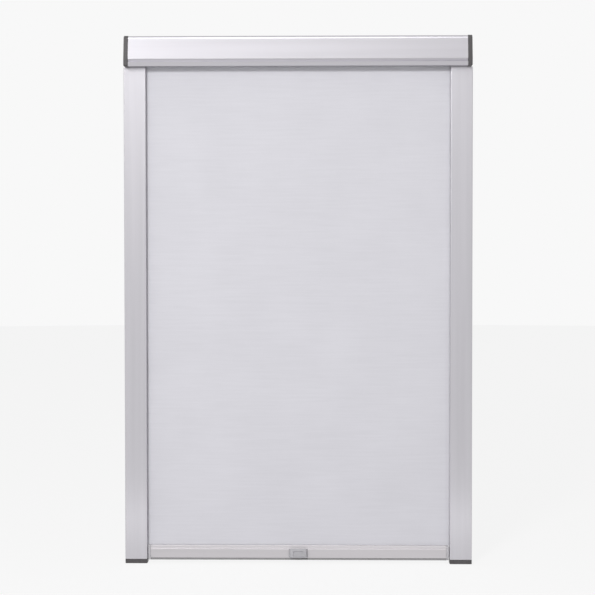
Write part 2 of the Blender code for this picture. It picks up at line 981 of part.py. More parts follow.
coil_length = spring_length - 2 * spring_wire
spring_points = []
for step in range(spring_curls * curl_steps + 1):
    turn = tau * step / curl_steps
    along = spring_left + spring_wire + coil_length * step / (spring_curls * curl_steps)
    spring_points.append(
        Vector(
            (
                along,
                roller_y + spring_radius * cos(turn),
                roller_z + spring_radius * sin(turn),
            )
        )
    )
print(
    "least gap between the spring's curls, mm:",
    round(1000 * least_gap(spring_points, spring_wire, curl_steps // 2), 2),
)
tail_left = Vector((spring_left, *spring_points[0].yz))
tail_right = Vector((spring_right, *spring_points[-1].yz))
wire("torsion_spring", [tail_left, *spring_points, tail_right], spring_wire, spring_steel)
print(
    "least gap between the cloth's turns, mm:",
    round(1000 * least_gap(turns_of_cloth(240), cloth_thickness, 120), 2),
)


# Bottom bar: an extruded wall that is open along its top, where the cloth goes in,
# with a ridge across its face, a lower face that slopes back and an inner web.
bar_corners = [
    (bar_front, bar_top, bar_edge_radius),
    (bar_front, bar_top - bar_ridge_drop, bar_ridge_fillet),
    (bar_ridge_y, bar_ridge_z, bar_edge_radius),
    (bar_ridge_y + bar_slope, bar_foot, bar_edge_radius),
    (bar_back, bar_foot, bar_edge_radius),
    (bar_back, bar_top, bar_edge_radius),
]
lip_half = bar_cloth_slot / 2
bar_path = rounded(
    [
        (cloth_y - lip_half, bar_top - bar_lip, 0),
        (cloth_y - lip_half, bar_top, 0),
        *bar_corners,
        (cloth_y + lip_half, bar_top, 0),
        (cloth_y + lip_half, bar_top - bar_lip, 0),
    ],
    least=bar_wall,
)
bar = folded_wall(
    "bottom_bar", bar_path, SIDE_VIEW, -bar_end, bar_end, bar_wall, satin_aluminium
)


def lower_face(height):
    """How far forward the bar's lower face is at a height."""
    share = (bar_ridge_z - height) / (bar_ridge_z - bar_foot)
    return bar_ridge_y + bar_slope * share


web = box(
    "bar_web",
    (-bar_end, lower_face(bar_web_z) + bar_wall / 2, bar_web_z - bar_wall),
    (bar_end, bar_back - bar_wall / 2, bar_web_z),
    group=cutters,
)
combine(bar, web, "UNION")
seal_y = (bar_ridge_y + bar_slope + bar_back) / 2
stem_slit = box(
    "stem_slit",
    (-bar_end - cap_root, seal_y - seal_stem / 2 - seat, bar_foot - cap_root),
    (bar_end + cap_root, seal_y + seal_stem / 2 + seat, bar_foot + bar_wall + seat / 2),
    group=cutters,
)
combine(bar, stem_slit, "DIFFERENCE")

# Soft seal under the bar, held by a head above the slit in the bar's floor
seal_front = bar_ridge_y + bar_slope + seal_set_back
seal_back = bar_back - seal_set_back
head_under = bar_foot + bar_wall + seat
head_over = head_under + seal_head_height
prism(
    "bar_seal",
    rounded(
        [
            (seal_front, seal_foot, seal_edge_radius),
            (seal_back, seal_foot, seal_edge_radius),
            (seal_back, bar_foot - seat, 0),
            (seal_y + seal_stem / 2, bar_foot - seat, 0),
            (seal_y + seal_stem / 2, head_under, 0),
            (seal_y + seal_head / 2, head_under, 0),
            (seal_y + seal_stem / 2, head_over, seal_edge_radius / 2),
            (seal_y - seal_stem / 2, head_over, seal_edge_radius / 2),
            (seal_y - seal_head / 2, head_under, 0),
            (seal_y - seal_stem / 2, head_under, 0),
            (seal_y - seal_stem / 2, bar_foot - seat, 0),
            (seal_front, bar_foot - seat, 0),
        ],
        closed=True,
    ),
    SIDE_VIEW, -bar_end, bar_end, grey_rubber,
)

# Hem rod, held up against the lips of the bar's slot
hem_end = bar_end - hem_short
rod_top = bar_top - bar_lip - seat
turned(
    "hem_rod",
    [(0, -hem_end), (hem_rod_radius, -hem_end), (hem_rod_radius, hem_end), (0, hem_end)],
    white_nylon, axis=(cloth_y, rod_top - hem_rod_radius), sides=small_sides,
)

# Blackout cloth: from the roller down, its edges inside the rails, and its hem inside
# the bar
prism(
    "blackout_fabric",
    [
        (-hem_end, rod_top + seat),
        (hem_end, rod_top + seat),
        (hem_end, bar_top + seat),
        (cloth_half, bar_top + seat),
        (cloth_half, roller_z - seat),
        (-cloth_half, roller_z - seat),
        (-cloth_half, bar_top + seat),
        (-hem_end, bar_top + seat),
    ],
    FRONT_VIEW, -cloth_y - cloth_thickness / 2, -cloth_y + cloth_thickness / 2, pale_cloth,
)


# Glides: a collar that closes the bar's end, a tongue inside the bar, and a head in the
# rail with a pocket for the brake pad and its leaf spring
collar_corners = [
    *bar_corners[:3],
    (bar_ridge_y + bar_slope, seal_foot, bar_edge_radius),
    (bar_back, seal_foot, bar_edge_radius),
    bar_corners[5],
]
glide = prism(
    "glide_right",
    rounded(collar_corners, closed=True),
    SIDE_VIEW, glide_end - collar_width, glide_end, grey_plastic,
)
glide_tongue = prism(
    "glide_tongue",
    rectangle(
        (glide_end - collar_width - glide_tongue_length, head_over + seat),
        (glide_end - collar_width + cap_root, bar_web_z - bar_wall - seat),
    ),
    FRONT_VIEW, seat + bar_wall - bar_back, glide_tongue_front, group=cutters,
)
combine(glide, glide_tongue, "UNION")
head_right = half_width - rail_wall - running
head_foot = bar_foot + head_rise
head_front = prong_back + running
head_back = -rail_wall - running
glide_neck = prism(
    "glide_neck",
    rectangle(
        (glide_end - cap_root, head_foot),
        (rail_inner + rail_wall + running + cap_root, head_foot + glide_head_height),
    ),
    FRONT_VIEW, -cloth_y - slot_half + running, -cloth_y + slot_half - running, group=cutters,
)
combine(glide, glide_neck, "UNION")
glide_head = prism(
    "glide_head",
    rectangle(
        (rail_inner + rail_wall + running, head_foot),
        (head_right, head_foot + glide_head_height),
        head_radius,
    ),
    FRONT_VIEW, -head_back, -head_front, group=cutters,
)
combine(glide, glide_head, "UNION")
pad_y = (head_front + head_back) / 2
pad_z = head_foot + glide_head_height / 2
pocket_floor = head_right - pad_pocket
pocket = box(
    "pad_pocket",
    (pocket_floor, pad_y - pad_width / 2 - seat, pad_z - pad_height / 2 - seat),
    (head_right + cap_root, pad_y + pad_width / 2 + seat, pad_z + pad_height / 2 + seat),
    group=cutters,
)
combine(glide, pocket, "DIFFERENCE")
mirrored(glide, "glide_left")

pad_right = half_width - rail_wall - seat
pad = prism(
    "brake_pad_right",
    rectangle(
        (pad_right - pad_thickness, pad_z - pad_height / 2),
        (pad_right, pad_z + pad_height / 2),
        pad_radius,
    ),
    FRONT_VIEW, -pad_y - pad_width / 2, -pad_y + pad_width / 2, felt,
)
mirrored(pad, "brake_pad_left")

# The leaf spring bows from the pocket's floor to the pad's back.
leaf_crown = pad_right - pad_thickness - seat
leaf_foot = pocket_floor + seat + leaf_thickness
leaf_rise = leaf_crown - leaf_foot
leaf_half = pad_height / 2 - leaf_short
leaf_bow = (leaf_half**2 + leaf_rise**2) / (2 * leaf_rise)
leaf_sweep = 2 * asin(leaf_half / leaf_bow)
leaf = folded_wall(
    "brake_spring_right",
    arc((leaf_crown - leaf_bow, pad_z), leaf_bow, -leaf_sweep / 2, leaf_sweep, leaf_steps),
    FRONT_VIEW, -pad_y - leaf_width / 2, -pad_y + leaf_width / 2, leaf_thickness, spring_steel,
)
mirrored(leaf, "brake_spring_left")


# Pull handle: a moulded grip with drafted sides and a finger recess. Its tenon snaps into
# a hole in the bar's lower face.
handle_top = bar_ridge_z + handle_over_ridge
handle_foot = handle_top - handle_height
handle = prism(
    "pull_handle",
    rounded(
        [
            (lower_face(handle_foot) - seat, handle_foot, 0),
            (bar_ridge_y - seat, bar_ridge_z, 0),
            (bar_ridge_y - seat, handle_top, 0),
            (bar_ridge_y - seat - handle_top_depth, handle_top, handle_nose_radius),
            (
                lower_face(handle_foot) - seat - handle_bottom_depth,
                handle_foot + handle_nose_height,
                handle_nose_radius,
            ),
            (
                lower_face(handle_foot) - seat - handle_bottom_depth + handle_nose_back,
                handle_foot,
                handle_nose_radius,
            ),
        ],
        closed=True,
    ),
    SIDE_VIEW, -handle_width / 2, handle_width / 2, grey_plastic,
)
bevelled(
    handle,
    handle_edge_radius,
    lambda a, b: abs(a.x - b.x) < seat / 2 and min(a.y, b.y) < bar_ridge_y - 2 * seat,
    2,
)
for corner in handle.data.vertices:
    ahead = lower_face(handle_foot) - seat - corner.co.y
    corner.co.x -= copysign(handle_draft * ahead, corner.co.x)
recess_floor = bar_ridge_y - seat - recess_back
recess_foot = handle_foot + recess_lip
recess = prism(
    "finger_recess",
    rectangle(
        (-recess_width / 2, recess_foot),
        (recess_width / 2, recess_foot + recess_height),
        recess_radius,
    ),
    FRONT_VIEW, -recess_floor, -recess_floor + 2 * handle_bottom_depth, group=cutters,
)
combine(handle, recess, "DIFFERENCE")
tenon_z = (handle_top + handle_foot) / 2
tenon_root = recess_floor + recess_back / 2
wall_back = lower_face(tenon_z) + bar_wall
tenon = prism(
    "handle_tenon",
    [
        (tenon_root, tenon_z - tenon_height / 2),
        (wall_back + tenon_length, tenon_z - tenon_height / 2),
        (wall_back + tenon_length, tenon_z + tenon_height / 2),
        (wall_back + running + seat, tenon_z + tenon_height / 2 + tenon_barb),
        (wall_back + running, tenon_z + tenon_height / 2),
        (tenon_root, tenon_z + tenon_height / 2),
    ],
    SIDE_VIEW, -tenon_width / 2, tenon_width / 2, group=cutters,
)
combine(handle, tenon, "UNION")
tenon_hole = box(
    "tenon_hole",
    (-tenon_width / 2 - seat, bar_ridge_y - cap_root, tenon_z - tenon_height / 2 - seat),
    (tenon_width / 2 + seat, wall_back + running, tenon_z + tenon_height / 2 + seat),
    group=cutters,
)
combine(bar, tenon_hole, "DIFFERENCE")


# The roll grows from its bare radius to its full one, and turns at its mean one.
bare_radius = tube_radius + spare_turns * cloth_thickness
full_radius = (bare_radius**2 + bar_travel * cloth_thickness / pi) ** 0.5
print("travel of the bar, mm:", round(1000 * bar_travel, 1))
print("mean radius of the roll, mm:", round(500 * (bare_radius + full_radius), 2))

# The roller's pieces turn about its axis, and the bar's pieces slide up the rails.
moving = {
    "roller_axis": (
        (0, roller_y, roller_z),
        ("roller_tube", "fabric_winding", "fabric_keder", "idle_plug", "idle_pin"),
        ("bearing_plug", "spring_driver"),
    ),
    "bar_slide": (
        (0, cloth_y, bar_foot),
        ("bottom_bar", "bar_seal", "hem_rod", "pull_handle", "glide_left", "glide_right"),
        ("brake_pad_left", "brake_pad_right", "brake_spring_left", "brake_spring_right"),
    ),
}
for name, (place, *groups) in moving.items():
    empty = bpy.data.objects.new(name, None)
    blind.objects.link(empty)
    empty.location = place
    for node in sum(groups, ()):
        piece = bpy.data.objects[node]
        piece.parent = empty
        piece.matrix_parent_inverse = Matrix.Translation(place).inverted()

for piece in blind.objects:
    if piece.type == "MESH":
        smooth(piece)
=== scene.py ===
"""The looks of a blackout roller blind for a roof window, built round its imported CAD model."""

from math import copysign, cos, pi, radians, sin, tan, tau

import bmesh
import bpy
from mathutils import Matrix, Vector


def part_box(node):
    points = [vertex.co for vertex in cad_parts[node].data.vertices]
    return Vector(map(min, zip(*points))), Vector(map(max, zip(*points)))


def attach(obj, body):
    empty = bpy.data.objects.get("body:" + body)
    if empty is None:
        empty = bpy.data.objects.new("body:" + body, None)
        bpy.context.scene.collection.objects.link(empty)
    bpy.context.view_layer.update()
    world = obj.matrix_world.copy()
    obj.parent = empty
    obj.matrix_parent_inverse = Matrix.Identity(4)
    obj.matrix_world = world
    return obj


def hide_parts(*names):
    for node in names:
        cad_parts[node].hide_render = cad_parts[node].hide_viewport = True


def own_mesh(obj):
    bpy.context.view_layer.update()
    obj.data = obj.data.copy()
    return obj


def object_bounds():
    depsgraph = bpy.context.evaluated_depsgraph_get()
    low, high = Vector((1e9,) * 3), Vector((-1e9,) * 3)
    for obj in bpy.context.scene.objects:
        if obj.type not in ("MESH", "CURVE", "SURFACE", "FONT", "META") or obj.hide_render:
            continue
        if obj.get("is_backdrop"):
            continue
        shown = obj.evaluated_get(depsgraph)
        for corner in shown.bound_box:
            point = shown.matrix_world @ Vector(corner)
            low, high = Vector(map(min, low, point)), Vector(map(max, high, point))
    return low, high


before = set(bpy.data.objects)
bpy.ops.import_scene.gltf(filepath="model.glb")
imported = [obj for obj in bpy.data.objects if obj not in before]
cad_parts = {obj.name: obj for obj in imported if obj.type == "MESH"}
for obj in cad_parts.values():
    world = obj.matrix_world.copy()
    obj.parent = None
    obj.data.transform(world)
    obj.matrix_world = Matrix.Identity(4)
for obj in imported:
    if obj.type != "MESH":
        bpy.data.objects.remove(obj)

cad_low, cad_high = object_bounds()


# Camera
# It stands three metres in front of the blind, a little above its middle, and turns
# slightly down and to the left, which gives the photograph's slight perspective.
camera_data = bpy.data.cameras.new("camera")
camera_data.sensor_width = 36
camera_data.lens = 102.48
camera = bpy.data.objects.new("camera", camera_data)
camera.location = (0.061, -3.0, -0.339)
camera.rotation_euler = (radians(90 - 1.782), radians(0.045), radians(1.189))
bpy.context.collection.objects.link(camera)
bpy.context.scene.camera = camera


# Floor, background and light
# A white floor under the rails' feet in a white surrounding. One soft lamp above and to
# the left lights the matt pieces. The others show only as reflections: the key at the
# left, one in front, a wide one above, and a strip low down before the bottom bar.
floor_radius = 9
floor_gap = 0.0004
plain_share = 0.85
background_white = 0.939
daylight = 0.45


def nodes_of(owner):
    """Empty an owner's node tree, and give the call that adds a node to it and sets it.

    Inputs and settings go by name, and inputs that share a name go by number.
    """
    owner.use_nodes = True
    tree = owner.node_tree
    tree.nodes.clear()

    def put(socket, value):
        if isinstance(value, bpy.types.NodeSocket):
            tree.links.new(value, socket)
        else:
            socket.default_value = value

    def add(kind, numbered=None, **values):
        node = tree.nodes.new(kind)
        for key, value in values.items():
            if key in node.inputs:
                put(node.inputs[key], value)
            else:
                setattr(node, key, value)
        for number, value in (numbered or {}).items():
            put(node.inputs[number], value)
        return node

    return add


bpy.ops.object.select_all(action="DESELECT")
bpy.ops.mesh.primitive_circle_add(
    vertices=64, radius=floor_radius, fill_type="NGON", location=(0, 0, cad_low.z - floor_gap)
)
floor = bpy.context.object
floor.name = "floor"
bpy.ops.object.transform_apply()

# The camera and the metal see the floor almost as plain white, and the shadows fall on
# its matt share. From below it can't be seen.
floor_white = bpy.data.materials.new("floor_white")
add = nodes_of(floor_white)
path = add("ShaderNodeLightPath").outputs
seen = add(
    "ShaderNodeMath", {0: path["Is Camera Ray"], 1: path["Is Glossy Ray"]}, operation="MAXIMUM"
)
share = add("ShaderNodeMath", {0: seen.outputs[0], 1: plain_share}, operation="MULTIPLY")
matt = add("ShaderNodeBsdfDiffuse", Color=(0.9, 0.9, 0.9, 1))
plain = add("ShaderNodeEmission", Color=(0.99, 0.99, 0.99, 1))
mixed = add("ShaderNodeMixShader", {0: share.outputs[0], 1: matt.outputs[0], 2: plain.outputs[0]})
below = add("ShaderNodeNewGeometry").outputs["Backfacing"]
clear = add("ShaderNodeBsdfTransparent")
one_sided = add("ShaderNodeMixShader", {0: below, 1: mixed.outputs[0], 2: clear.outputs[0]})
add("ShaderNodeOutputMaterial", Surface=one_sided.outputs[0])
floor.data.materials.append(floor_white)
floor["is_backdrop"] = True

bpy.context.scene.view_settings.view_transform = "Standard"
world = bpy.context.scene.world or bpy.data.worlds.new("surrounding")
bpy.context.scene.world = world
add = nodes_of(world)
path = add("ShaderNodeLightPath").outputs
mirrored = add(
    "ShaderNodeMath", {0: path["Is Glossy Ray"], 1: path["Is Transmission Ray"]},
    operation="MAXIMUM",
)
seen = add(
    "ShaderNodeMath", {0: path["Is Camera Ray"], 1: mirrored.outputs[0]}, operation="MAXIMUM"
)
white = add("ShaderNodeBackground", Color=(background_white,) * 3 + (1,), Strength=1.0)
light = add("ShaderNodeBackground", Color=(1.0, 1.0, 1.0, 1), Strength=daylight)
mixed = add("ShaderNodeMixShader", {0: seen.outputs[0], 1: light.outputs[0], 2: white.outputs[0]})
add("ShaderNodeOutputWorld", Surface=mixed.outputs[0])


def soft_lamp(name, place, aim, width, height, power, lights):
    """An oval soft lamp that lights only matt or only glossy surfaces."""
    data = bpy.data.lights.new(name, "AREA")
    data.shape = "ELLIPSE"
    data.size = width
    data.size_y = height
    data.energy = power
    lamp = bpy.data.objects.new(name, data)
    lamp.location = place
    lamp.rotation_euler = (Vector(aim) - Vector(place)).to_track_quat("-Z", "Y").to_euler()
    lamp.visible_camera = False
    lamp.visible_diffuse = lights == "matt"
    lamp.visible_glossy = lights == "glossy"
    bpy.context.collection.objects.link(lamp)


soft_lamp("fill_lamp", (-0.8, -3.2, 0.72), (0, 0, -0.4), 0.6, 0.45, 56, "matt")
soft_lamp("key_lamp", (-1.9, -2.8, 1.25), (0, 0, -0.2), 0.7, 0.7, 50, "glossy")
soft_lamp("front_lamp", (-0.12, -2.8, 0.56), (0, 0, -0.3), 0.5, 0.5, 4.4, "glossy")
soft_lamp("top_lamp", (-0.3, -1.2, 1.95), (0, 0, 0), 1.8, 1.6, 16, "glossy")
soft_lamp("low_lamp", (0, -0.32, -0.872), (0, 0, -0.86), 1.2, 0.05, 0.10, "glossy")


# Cassette
# One aluminium extrusion in satin anodised finish: a leaning front with a rounded top
# edge, an undercut groove above the lower lip, a slot for the cloth, and two ports
# inside that take the end caps' screws.
cassette_low, cassette_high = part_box("cassette_profile")
cassette_front, cassette_foot, cassette_top = cassette_low.y, cassette_low.z, cassette_high.z
cassette_wall = 0.0013
slot_back, slot_front, slot_lip, slot_radius = -0.0040, -0.0130, 0.0050, 0.0020
lean, top_radius = 0.0075, 0.0075
face_step = 0.00012
groove_top, groove_depth = cassette_foot + 0.0120, 0.0034
lip_top, lip_draft, lip_drop = cassette_foot + 0.0067, 0.0018, 0.0005
cassette_folds = [
    (slot_back, cassette_foot + slot_lip, 0),
    (slot_back, cassette_foot, slot_radius),
    (0, cassette_foot, 0),
    (0, cassette_top, 0),
    (cassette_front + lean, cassette_top, top_radius),
    (cassette_front + face_step, groove_top, 0),
    (cassette_front + face_step + groove_depth, lip_top, 0),
    (cassette_front, lip_top, 0),
    (cassette_front + lip_draft, cassette_foot - lip_drop, 0),
    (slot_front, cassette_foot, slot_radius),
    (slot_front, cassette_foot + slot_lip, 0),
]
port_radius, port_wall = 0.0027, 0.0012
port_opening, port_steps = 80, 18
corner_to_port = 0.0037
screw_places = (
    (-corner_to_port, cassette_top - corner_to_port),
    (cassette_front + corner_to_port, cassette_foot + corner_to_port),
)


def take(piece):
    """Leave edit mode and make a piece the only one selected."""
    if bpy.context.object and bpy.context.object.mode != "OBJECT":
        bpy.ops.object.mode_set(mode="OBJECT")
    bpy.ops.object.select_all(action="DESELECT")
    piece.select_set(True)
    bpy.context.view_layer.objects.active = piece


def started(name):
    """Name the primitive that was just added and put its place in its mesh."""
    piece = bpy.context.object
    piece.name = name
    bpy.ops.object.transform_apply()
    return piece


def pick(piece, kind, test):
    """In edit mode, select only the edges or faces whose list of corners passes a test."""
    take(piece)
    bpy.ops.object.mode_set(mode="EDIT")
    bpy.ops.mesh.select_mode(type={"edges": "EDGE", "faces": "FACE"}[kind])
    bpy.ops.mesh.select_all(action="DESELECT")
    mesh = bmesh.from_edit_mesh(piece.data)
    for item in getattr(mesh, kind):
        if test([corner.co for corner in item.verts]):
            item.select = True
    mesh.select_flush_mode()
    bmesh.update_edit_mesh(piece.data)


def near(a, b):
    """Whether two measures agree to a hundredth of a millimetre."""
    return abs(a - b) < 0.00001


def finish_mesh(piece, angle=30):
    """Leave edit mode, turn the surface outwards and shade it smooth but for its edges."""
    take(piece)
    solid = bmesh.new()
    solid.from_mesh(piece.data)
    inside_out = solid.calc_volume(signed=True) < 0
    solid.free()
    if inside_out:
        bpy.ops.object.mode_set(mode="EDIT")
        bpy.ops.mesh.select_all(action="SELECT")
        bpy.ops.mesh.flip_normals()
        bpy.ops.object.mode_set(mode="OBJECT")
    bpy.ops.object.shade_smooth_by_angle(angle=radians(angle))


def apply(piece, kind, **values):
    """Add a modifier, set it and apply it."""
    take(piece)
    changed = piece.modifiers.new(kind.lower(), kind)
    for key, value in values.items():
        setattr(changed, key, value)
    bpy.ops.object.modifier_apply(modifier=changed.name)


def soften(piece, width, angle=40, segments=2):
    """Break the sharp edges, as the tool or the mould does."""
    apply(
        piece, "BEVEL", width=width, segments=segments, limit_method="ANGLE",
        angle_limit=radians(angle),
    )


def folded(name, folds, along, start, end, wall=0.0, steps=10, closed=False):
    """A strip extruded fold by fold, each fold rounded to its radius, then given a wall.

    Along X the folds are (y, z, radius), and along Z they are (x, y, radius). The wall
    grows to the left of the folds. A closed strip is filled at its ends instead.
    """
    length_way = Vector((1, 0, 0)) if along == "X" else Vector((0, 0, 1))
    places = [Vector((0, a, b)) if along == "X" else Vector((a, b, 0)) for a, b, _ in folds]
    if closed:
        places.append(places[0])
    run = places[1] - places[0]
    bpy.ops.object.select_all(action="DESELECT")
    bpy.ops.mesh.primitive_plane_add(size=1)
    strip = bpy.context.object
    turn = Matrix((length_way * (end - start), run, length_way.cross(run).normalized()))
    middle = (places[0] + places[1]) / 2 + length_way * (start + end) / 2
    strip.matrix_world = Matrix.Translation(middle) @ turn.transposed().to_4x4()
    started(name)

    def at(place):
        return lambda corners: all(
            (co - place - length_way * co.dot(length_way)).length < 0.00001 for co in corners
        )

    pick(strip, "edges", at(places[1]))
    for here, there in zip(places[1:], places[2:]):
        bpy.ops.mesh.extrude_edges_move(TRANSFORM_OT_translate={"value": there - here})
    if closed:
        bpy.ops.mesh.select_all(action="SELECT")
        bpy.ops.mesh.remove_doubles(threshold=0.000001)
    for before, place, after, (_, _, radius) in zip(places, places[1:], places[2:], folds[1:]):
        if radius:
            half = (before - place).angle(after - place) / 2
            straight = min((before - place).length, (after - place).length)
            pick(strip, "edges", at(place))
            bpy.ops.mesh.bevel(
                offset=min(radius / tan(half), 0.48 * straight),
                segments=steps, profile=0.5, affect="EDGES",
            )
    if closed:
        for far in (start, end):
            pick(
                strip, "edges",
                lambda corners: all(near(co.dot(length_way), far) for co in corners),
            )
            bpy.ops.mesh.edge_face_add()
    take(strip)
    if wall:
        apply(strip, "SOLIDIFY", thickness=wall, offset=1, use_even_offset=True)
    return strip


def block(name, low, high, radius=0.0, along=None):
    """A cube drawn out between two corners, its edges along one axis rounded."""
    low, high = Vector(low), Vector(high)
    bpy.ops.object.select_all(action="DESELECT")
    bpy.ops.mesh.primitive_cube_add(size=1, location=(low + high) / 2, scale=high - low)
    made = started(name)
    if radius:
        axis = "XYZ".index(along)
        pick(made, "edges", lambda corners: not near(corners[0][axis], corners[1][axis]))
        bpy.ops.mesh.bevel(offset=radius, segments=4, profile=0.5, affect="EDGES")
    take(made)
    return made


def rod(name, start, end, radius, place, sides=48, far_radius=None):
    """A cylinder or cone along X, from start to end, about (y, z)."""
    bpy.ops.object.select_all(action="DESELECT")
    bpy.ops.mesh.primitive_cone_add(
        vertices=sides, radius1=radius, radius2=radius if far_radius is None else far_radius,
        depth=end - start, location=((start + end) / 2, *place), rotation=(0, pi / 2, 0),
    )
    return started(name)


def join(piece, *others):
    """Unite solids that touch into one."""
    for other in others:
        apply(piece, "BOOLEAN", operation="UNION", object=other, solver="EXACT")
        bpy.data.objects.remove(other, do_unlink=True)


def cut(piece, *others):
    """Cut solids out of a piece."""
    for other in others:
        apply(piece, "BOOLEAN", operation="DIFFERENCE", object=other, solver="EXACT")
        bpy.data.objects.remove(other, do_unlink=True)


def dress(piece, material, body, slot, *stands_for):
    """Give a piece even shading, its finish and its place among the moving bodies."""
    apply(piece, "WEIGHTED_NORMAL", keep_sharp=True)
    piece.data.materials.clear()
    piece.data.materials.append(material)
    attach(piece, body)
    if stands_for:
        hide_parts(*stands_for)


def shade(colour, share=1.0):
    """A colour, darker or lighter by a share."""
    return (*(share * part for part in colour), 1)


def coat(add, colour, roughness, bump, **values):
    """End a finish with its shader."""
    surface = {"Base Color": colour, "Roughness": roughness, "Normal": bump.outputs["Normal"]}
    shader = add("ShaderNodeBsdfPrincipled", **surface, **values)
    add("ShaderNodeOutputMaterial", Surface=shader.outputs[0])


def satin(name, colour, grain, roughness):
    """Anodised metal: fine die lines along the grain over a soft satin."""
    made = bpy.data.materials.new(name)
    add = nodes_of(made)
    place = add("ShaderNodeTexCoord").outputs["Object"]
    drawn = add("ShaderNodeMapping", Vector=place, Scale=grain).outputs[0]
    lines = add("ShaderNodeTexNoise", Vector=drawn, Scale=2600.0, Detail=3.0).outputs["Fac"]
    broad = add("ShaderNodeTexNoise", Vector=drawn, Scale=90.0, Detail=2.0).outputs["Fac"]
    pits = add("ShaderNodeTexNoise", Vector=place, Scale=5200.0, Detail=1.0).outputs["Fac"]
    dull = add(
        "ShaderNodeMapRange",
        **{"Value": lines, "To Min": roughness - 0.04, "To Max": roughness + 0.04},
    )
    tint = add("ShaderNodeValToRGB", Fac=broad)
    for stop, position, share in zip(tint.color_ramp.elements, (0.3, 0.7), (0.965, 1.025)):
        stop.position = position
        stop.color = shade(colour, share)
    relief = add("ShaderNodeMath", {0: lines, 1: pits}, operation="ADD")
    bump = add("ShaderNodeBump", Strength=0.02, Distance=0.00004, Height=relief.outputs[0])
    coat(add, tint.outputs["Color"], dull.outputs["Result"], bump, Metallic=1.0)
    return made


along_x = (0.02, 1, 1)
# The cassette takes the rails' aluminium colour made about 4% darker. This is painted shade that
# tones down the lamps' light on its face.
cassette_finish_painted_shade = satin("satin_aluminium_along_x_painted_shade", (0.518, 0.506, 0.536), along_x, 0.33)
cassette = folded(
    "cassette", cassette_folds, "X", cassette_low.x, cassette_high.x, cassette_wall
)
for (y, z), open_way in zip(screw_places, (225, 45)):
    start = open_way + port_opening / 2
    turns = [
        radians(start + (360 - port_opening) * step / port_steps) for step in range(port_steps + 1)
    ]
    round_wall = [(y + port_radius * cos(t), z + port_radius * sin(t), 0) for t in turns]
    port = folded("port", round_wall, "X", cassette_low.x, cassette_high.x, port_wall)
    finish_mesh(port)
    finish_mesh(cassette)
    join(cassette, port)
soften(cassette, 0.00025)
finish_mesh(cassette)
dress(cassette, cassette_finish_painted_shade, "frame", "cassette_aluminium", "cassette_profile")


# End caps
# Moulded in dark grey plastic with a fine spark-eroded texture, slightly proud of the
# profile. A tongue and two screws hold each on the cassette, a prong enters the rail,
# and the sash bracket hooks into the socket in its side.
cap_low, cap_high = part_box("end_cap_right")
cap_front, cap_outer, cap_top = cap_low.y, cap_high.x, cap_high.z
cap_width, cap_rim_radius = 0.0075, 0.0013
cap_inner = cap_outer - cap_width
cap_corners = [
    (0, 0, 0),
    (0, cap_top, 0.0015),
    (cap_front + lean, cap_top, 0.0080),
    (cap_front + face_step, groove_top, 0.0075),
    (cap_front, -cap_top, 0.0025),
    (0, -cap_top, 0),
]
collar_low, collar_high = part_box("shaft_collar")
roller_place = ((collar_low.y + collar_high.y) / 2, (collar_low.z + collar_high.z) / 2)
tongue_top, tongue_length, tongue_wall = cassette_top - cassette_wall - 0.0003, 0.0060, 0.0016
tongue_folds = [(-0.0074, tongue_top, 0), (-0.03117, tongue_top, 0.0059), (-0.03453, 0.00622, 0)]
boss_length, boss_radius = 0.0040, 0.0065
prong_front, prong_back, prong_radius = -0.0177, -0.0126, 0.0012
prong_gap, prong_root = 0.0006, 0.0008
bore_radius, head_radius, head_depth = 0.0015, 0.0028, 0.0030
socket_front, socket_back, socket_half, socket_depth = -0.0140, -0.0040, 0.0070, 0.0046
tang_half_width, tang_half_height, tang_depth = 0.0028, 0.0018, 0.0023
bush_radius, bush_depth = 0.0040, 0.0036
overlap = 0.0005
overcut = 0.001


def moulded(name, colour, roughness, grain=3000.0, depth=0.00006, speckle=0.12):
    """Moulded plastic: an even grain from the mould and a faint clouding in the colour."""
    made = bpy.data.materials.new(name)
    add = nodes_of(made)
    place = add("ShaderNodeTexCoord").outputs["Object"]
    fine = add("ShaderNodeTexNoise", Vector=place, Scale=grain, Detail=3.0).outputs["Fac"]
    cloud = add("ShaderNodeTexNoise", Vector=place, Scale=45.0, Detail=3.0).outputs["Fac"]
    both = add("ShaderNodeMath", {0: fine, 1: cloud}, operation="ADD")
    tint = add("ShaderNodeMapRange", **{"Value": both.outputs[0], "From Min": 0.6, "From Max": 1.4})
    mix = add(
        "ShaderNodeMix", {6: shade(colour, 1 - speckle), 7: shade(colour, 1 + speckle)},
        data_type="RGBA", Factor=tint.outputs["Result"],
    )
    dull = add(
        "ShaderNodeMapRange",
        **{"Value": fine, "To Min": roughness - 0.07, "To Max": roughness + 0.07},
    )
    bump = add("ShaderNodeBump", Strength=0.25, Distance=depth, Height=fine)
    coat(add, mix.outputs[2], dull.outputs["Result"], bump)
    return made


def other_side(piece, name):
    """A piece's copy for the blind's left side."""
    take(piece)
    bpy.ops.object.duplicate()
    mirrored = bpy.context.object
    mirrored.name = name
    mirrored.scale.x = -1
    bpy.ops.object.transform_apply()
    finish_mesh(mirrored)
    return mirrored


cap_grey = moulded("cap_grey_plastic", (0.072, 0.067, 0.070), 0.50)
cap = folded("end_cap", cap_corners, "X", cap_inner, cap_outer, closed=True)
